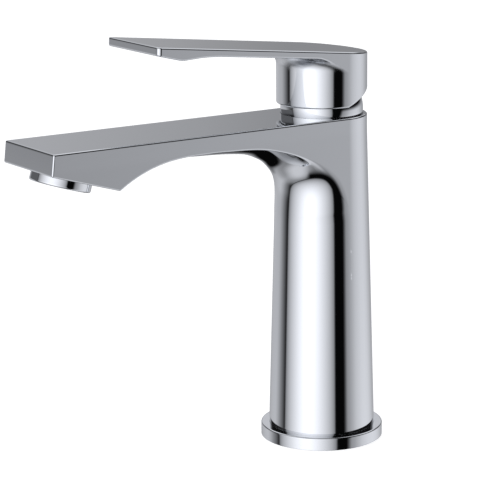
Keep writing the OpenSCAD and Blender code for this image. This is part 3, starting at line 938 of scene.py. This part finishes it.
class MIXER_OT_base(Operator):
    """Builds the base flange and finishes the gasket and O-ring under it"""

    bl_idname = "mixer.base"
    bl_label = "Base flange"

    def execute(self, context):
        piece = chromed("base_ring", make_flange_mesh, context.scene.mixer_body)
        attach(piece, "faucet")
        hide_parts("base_flange")
        dress(rubber(), "base_gasket", "flange_o_ring")
        return {"FINISHED"}


class MIXER_OT_neck(Operator):
    """Builds the ball neck under the lever"""

    bl_idname = "mixer.neck"
    bl_label = "Ball neck"

    def execute(self, context):
        piece = chromed("neck_ball", make_neck_mesh, context.scene.mixer_lever)
        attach(piece, "faucet")
        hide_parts("ball_neck")
        return {"FINISHED"}


class MIXER_OT_lever(Operator):
    """Builds the lever with its hub, and the index plug at its back"""

    bl_idname = "mixer.lever"
    bl_label = "Lever"

    def execute(self, context):
        sizes, colours = context.scene.mixer_lever, context.scene.mixer_colours
        corner = finish_named("chrome_in_the_corner", corner_chrome, colours.chrome)
        piece = chromed("lever_casting", make_lever_mesh, sizes, also=[corner])
        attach(piece, "lever")
        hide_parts("lever")
        low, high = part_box("index_plug")
        screw_z = (low.z + high.z) / 2
        enamel = finish_named("index_enamel", index_enamel, colours.hot, colours.cold)
        plug = chromed("index_button", make_plug_mesh, sizes, screw_z / MM, also=[enamel])
        for face in plug.data.polygons:
            middle = face.center
            reach = math.hypot(middle.x, middle.z - screw_z)
            face.material_index = int(reach < MARK_R * MM and middle.y > sizes.hub_r * MM)
        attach(plug, "lever")
        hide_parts("index_plug")
        return {"FINISHED"}


class MIXER_OT_aerator(Operator):
    """Builds the aerator's ring and finishes the jets inside it"""

    bl_idname = "mixer.aerator"
    bl_label = "Aerator"

    def execute(self, context):
        piece = chromed("aerator_ring", make_aerator_mesh, context.scene.mixer_body)
        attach(piece, "faucet")
        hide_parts("aerator_shell")
        plastic = finish_named("moulded_pom_grey", moulded_plastic,
                               context.scene.mixer_colours.jet_plastic)
        dress(plastic, "aerator_insert", "aerator_screen")
        dress(rubber(), "aerator_washer")
        return {"FINISHED"}


class MIXER_OT_cartridge(Operator):
    """Finishes the cartridge, its nut and the stem inside the body"""

    bl_idname = "mixer.cartridge"
    bl_label = "Cartridge"

    def execute(self, context):
        dress(rubber(), "housing_o_ring", "inlet_seals")
        dress(finish_named("moulded_pom_ivory", moulded_plastic, "#DAD8CF"),
              "cartridge_housing", "cartridge_base", "disc_carrier", "cartridge_rotor")
        dress(finish_named("moulded_pom_red", moulded_plastic, "#A8201A"), "limit_ring")
        dress(finish_named("turned_brass", turned_brass), "retaining_nut", "lever_stem")
        dress(finish_named("lapped_alumina", lapped_ceramic), "fixed_disc", "moving_disc")
        dress(finish_named("machined_stainless_steel", machined_steel), "stem_pin", "set_screw")
        return {"FINISHED"}


# ---- the studio ----

CAMERA_PLACE = (0.751405, -0.557172, 0.305066)
CAMERA_TURN = (55.56, -13.22, -0.47)   # heading, pitch and roll in degrees
CAMERA_LENS = 169.98
KEY_LEVEL = 1.3   # brightest tone of the studio, as a light level
# round key light: degrees from its middle, display grey
KEY = [(0, 1.13), (12, 1.12), (20, 1.06), (26, 1.01), (32, 0.95), (38, 0.89), (44, 0.82),
       (49, 0.75), (53, 0.67), (57, 0.56), (59, 0.3), (61, 0.04), (180, 0.04)]
# tones of the studio as display greys, by angle in degrees from the camera
LEVEL = [(-180, 0.555), (-177, 0.645), (-172, 0.71), (-160, 0.755), (-148, 0.76),
         (-140, 0.735), (-120, 0.705), (-112, 0.62), (-104, 0.485), (-96, 0.28),
         (-91, 0.1), (-80, 0.1), (40, 0.3), (54, 0.46), (60, 0.57), (67, 0.635),
         (78, 0.73), (84, 0.78), (90, 0.81), (102, 0.85), (114, 0.86), (126, 0.825),
         (138, 0.74), (150, 0.665), (180, 0.555)]
LOW = [(-180, 0.6), (-152, 0.71), (-136, 0.765), (-124, 0.785), (-120, 0.765),
       (-112, 0.69), (-104, 0.555), (-96, 0.41), (-91, 0.24), (-87, 0.12), (-80, 0.1),
       (40, 0.3), (54, 0.52), (60, 0.615), (66, 0.66), (78, 0.785), (84, 0.835), (90, 0.86),
       (102, 0.9), (114, 0.905), (126, 0.885), (138, 0.83), (150, 0.74), (156, 0.7),
       (168, 0.7), (180, 0.6)]
FLOOR = [(-180, 0.5), (-150, 0.56), (-118, 0.64), (-90, 0.58), (-60, 0.5), (-30, 0.45),
         (10, 0.5), (40, 0.62), (60, 0.84), (110, 0.84), (135, 0.6), (180, 0.5)]
ABOVE = [(-180, 0.555), (-177, 0.63), (-172, 0.69), (-160, 0.6), (-150, 0.4),
         (-140, 0.38), (-90, 0.38), (-80, 0.3), (34, 0.2), (44, 0.08), (136, 0.08),
         (150, 0.4), (180, 0.555)]
HIGH = [(-180, 0.8), (-162, 0.8), (-148, 0.4), (-140, 0.08), (-90, 0.06), (-80, 0.2),
        (34, 0.2), (44, 0.08), (136, 0.08), (150, 0.4), (162, 0.8), (180, 0.8)]
CEILING = [(-180, 0.92), (-122, 0.92), (-104, 0.66), (26, 0.64), (34, 0.08), (62, 0.08),
           (68, 0.2), (94, 0.25), (102, 0.8), (116, 0.92), (180, 0.92)]
# upward part of a direction where each layer of tones begins and is full
LOW_FADE = (-0.15, -0.33)
FLOOR_FADE = (-0.5, -0.8)
ABOVE_FADE = (-0.125, 0.02)
HIGH_FADE = (0.2, 0.3)
CEILING_FADE = (0.42, 0.62)
# lights and cards in degrees: middle round from the camera and up, outer edge, inner edge
BOUNCE_CARD = (-114, -73, 26, 4)
DARK_CARD = (-174, -36, 19, 9)
BOUNCE_GREY, DARK_GREY = [(0, 0.83)], [(0, 0.03)]
KEY_PLACE = (-28.9, -4.3, 61, 60)
KEY_SURROUND = (-34, 16, 99, 88)   # a dark crescent lies between it and the key
CRESCENT_SIDE = (-60, -32)         # degrees round where the crescent begins and is full
DAYLIGHT = (1.0, 1.01, 1.055)      # tint of the studio's light
PAPER_WHITE, PAPER_GLOW = 0.8, 0.78
FLOOR_RADIUS = 3.0   # in metres


def tones(tree, share, stops, first=-180):
    """Studio tones along an angle, from (degrees, display grey) stops."""
    ramp = add(tree, "ShaderNodeValToRGB", [("Fac", share, "Result")])
    line = ramp.color_ramp.elements
    line.remove(line[-1])
    for i, (degrees, value) in enumerate(stops):
        place = (degrees - first) / (180 - first)
        stop = line[0] if i == 0 else line.new(place)
        stop.position = place
        stop.color = [grey(value) / KEY_LEVEL * tint for tint in DAYLIGHT] + [1]
    return ramp


def round_light(tree, faced, turn, level, outer, inner):
    """The angle from a light's middle, as a share of a half turn, and its soft edge."""
    turn, level = math.radians(turn), math.radians(level)
    middle = (math.sin(turn) * math.cos(level), -math.cos(turn) * math.cos(level),
              math.sin(level))
    ahead = add(tree, "ShaderNodeVectorMath", [(0, faced, 0)], operation="DOT_PRODUCT",
                in_1=middle)
    angle = add(tree, "ShaderNodeMath", [(0, ahead, "Value")], operation="ARCCOSINE")
    share = add(tree, "ShaderNodeMapRange", [("Value", angle, 0)], in_2=math.pi)
    return share, soft(tree, share, 0, outer / 180, inner / 180)


def make_world():
    """The studio round the mixer: layers of tones by direction, and the key light."""
    world = bpy.data.worlds.new("studio")
    bpy.context.scene.world = world
    world.use_nodes = True
    tree = world.node_tree
    tree.nodes.clear()
    camera_angle = math.atan2(CAMERA_PLACE[0], -CAMERA_PLACE[1])
    faced = placed(tree, "ShaderNodeVectorRotate", rotation_type="Z_AXIS", in_Angle=-camera_angle)
    axes = add(tree, "ShaderNodeSeparateXYZ", [("Vector", faced, 0)])
    front = add(tree, "ShaderNodeMath", [(0, axes, "Y")], operation="MULTIPLY", in_1=-1.0)
    angle = add(tree, "ShaderNodeMath", [(0, axes, "X"), (1, front, 0)], operation="ARCTAN2")
    share = add(tree, "ShaderNodeMapRange", [("Value", angle, 0)], in_1=-math.pi, in_2=math.pi)
    dark, in_dark = round_light(tree, faced, *DARK_CARD)
    bounce, in_bounce = round_light(tree, faced, *BOUNCE_CARD)
    key, in_key = round_light(tree, faced, *KEY_PLACE)
    beside = soft(tree, share, 0, *((degrees + 180) / 360 for degrees in CRESCENT_SIDE))
    _, surround = round_light(tree, faced, *KEY_SURROUND)
    crescent = add(tree, "ShaderNodeMath", [(0, beside, 0), (1, surround, 0)],
                   operation="MULTIPLY")

    def layer(stops, fade):
        return tones(tree, share, stops), soft(tree, axes, "Z", *fade)

    shade = tones(tree, dark, DARK_GREY, 0)
    room, output = tones(tree, share, LEVEL), "Color"
    for tone, blend in (
            layer(LOW, LOW_FADE), layer(FLOOR, FLOOR_FADE),
            (tones(tree, bounce, BOUNCE_GREY, 0), in_bounce),
            layer(ABOVE, ABOVE_FADE), layer(HIGH, HIGH_FADE),
            (shade, in_dark), (shade, crescent),
            layer(CEILING, CEILING_FADE),
            (tones(tree, key, KEY, 0), in_key)):
        room = add(tree, "ShaderNodeMix", data_type="RGBA", links=[
            ("Factor", blend, 0), (6, room, output), (7, tone, "Color")])
        output = 2
    light = add(tree, "ShaderNodeBackground", [("Color", room, output)], in_Strength=KEY_LEVEL)
    white = add(tree, "ShaderNodeBackground", in_Color=(1, 1, 1, 1))
    path = add(tree, "ShaderNodeLightPath")
    seen = add(tree, "ShaderNodeMath", operation="ADD", links=[
        (0, path, "Is Camera Ray"), (1, path, "Is Transmission Ray")])
    both = add(tree, "ShaderNodeMixShader", [(0, seen, 0), (1, light, 0), (2, white, 0)])
    add(tree, "ShaderNodeOutputWorld", [("Surface", both, 0)])


def make_floor():
    """A sheet of white paper under the mixer."""
    bm = bmesh.new()
    bmesh.ops.create_circle(bm, cap_ends=True, segments=96, radius=FLOOR_RADIUS)
    mesh = bpy.data.meshes.new("floor")
    bm.to_mesh(mesh)
    bm.free()
    floor = bpy.data.objects.new("floor", mesh)
    bpy.context.scene.collection.objects.link(floor)
    m = bpy.data.materials.new("matt_white_paper")
    m.use_nodes = True
    tree = m.node_tree
    tree.nodes.clear()
    paper = add(tree, "ShaderNodeBsdfDiffuse", in_Color=(PAPER_WHITE,) * 3 + (1,))
    glow = add(tree, "ShaderNodeEmission", in_Color=(1, 1, 1, 1), in_Strength=PAPER_GLOW)
    sheet = add(tree, "ShaderNodeAddShader", [(0, paper, 0), (1, glow, 0)])
    add(tree, "ShaderNodeOutputMaterial", [("Surface", sheet, 0)])
    mesh.materials.append(m)
    floor.visible_glossy = False


def make_camera():
    """The camera, turned by its heading, pitch and roll."""
    turn, pitch, roll = (math.radians(degrees) for degrees in CAMERA_TURN)
    ahead = Vector((-math.sin(turn) * math.cos(pitch), math.cos(turn) * math.cos(pitch),
                    math.sin(pitch)))
    right = ahead.cross(Vector((0, 0, 1))).normalized()
    up = right.cross(ahead)
    right, up = (right * math.cos(roll) + up * math.sin(roll),
                 up * math.cos(roll) - right * math.sin(roll))
    data = bpy.data.cameras.new("camera")
    data.lens = CAMERA_LENS
    data.sensor_width = 36
    camera = bpy.data.objects.new("camera", data)
    bpy.context.scene.collection.objects.link(camera)
    facing = Matrix((right, up, -ahead)).transposed().to_4x4()
    camera.matrix_world = Matrix.Translation(CAMERA_PLACE) @ facing
    bpy.context.scene.camera = camera


class MIXER_OT_stage(Operator):
    """Sets up the floor, the soft studio round the mixer and the camera"""

    bl_idname = "mixer.stage"
    bl_label = "Stage"

    def execute(self, context):
        make_world()
        make_floor()
        make_camera()
        context.scene.view_settings.view_transform = "Standard"
        return {"FINISHED"}


OPERATORS = (MIXER_OT_body, MIXER_OT_base, MIXER_OT_neck, MIXER_OT_lever,
             MIXER_OT_aerator, MIXER_OT_cartridge, MIXER_OT_stage)


class MIXER_PT_panel(Panel):
    """Lists the steps and the sizes"""

    bl_label = "Basin mixer"
    bl_idname = "MIXER_PT_panel"
    bl_space_type = "VIEW_3D"
    bl_region_type = "UI"
    bl_category = "Mixer"

    def draw(self, context):
        for step in OPERATORS:
            self.layout.operator(step.bl_idname)
        scene = context.scene
        for group in (scene.mixer_body, scene.mixer_lever, scene.mixer_colours):
            box = self.layout.box()
            for name in group.__annotations__:
                box.prop(group, name)


CLASSES = (BodySizes, LeverSizes, Colours) + OPERATORS + (MIXER_PT_panel,)


def register():
    for cls in CLASSES:
        bpy.utils.register_class(cls)
    bpy.types.Scene.mixer_body = PointerProperty(type=BodySizes)
    bpy.types.Scene.mixer_lever = PointerProperty(type=LeverSizes)
    bpy.types.Scene.mixer_colours = PointerProperty(type=Colours)


def unregister():
    del bpy.types.Scene.mixer_colours
    del bpy.types.Scene.mixer_lever
    del bpy.types.Scene.mixer_body
    for cls in reversed(CLASSES):
        bpy.utils.unregister_class(cls)


def main():
    register()
    bpy.ops.mixer.stage()
    bpy.ops.mixer.body()
    bpy.ops.mixer.base()
    bpy.ops.mixer.neck()
    bpy.ops.mixer.lever()
    bpy.ops.mixer.aerator()
    bpy.ops.mixer.cartridge()


if __name__ == "__main__":
    main()
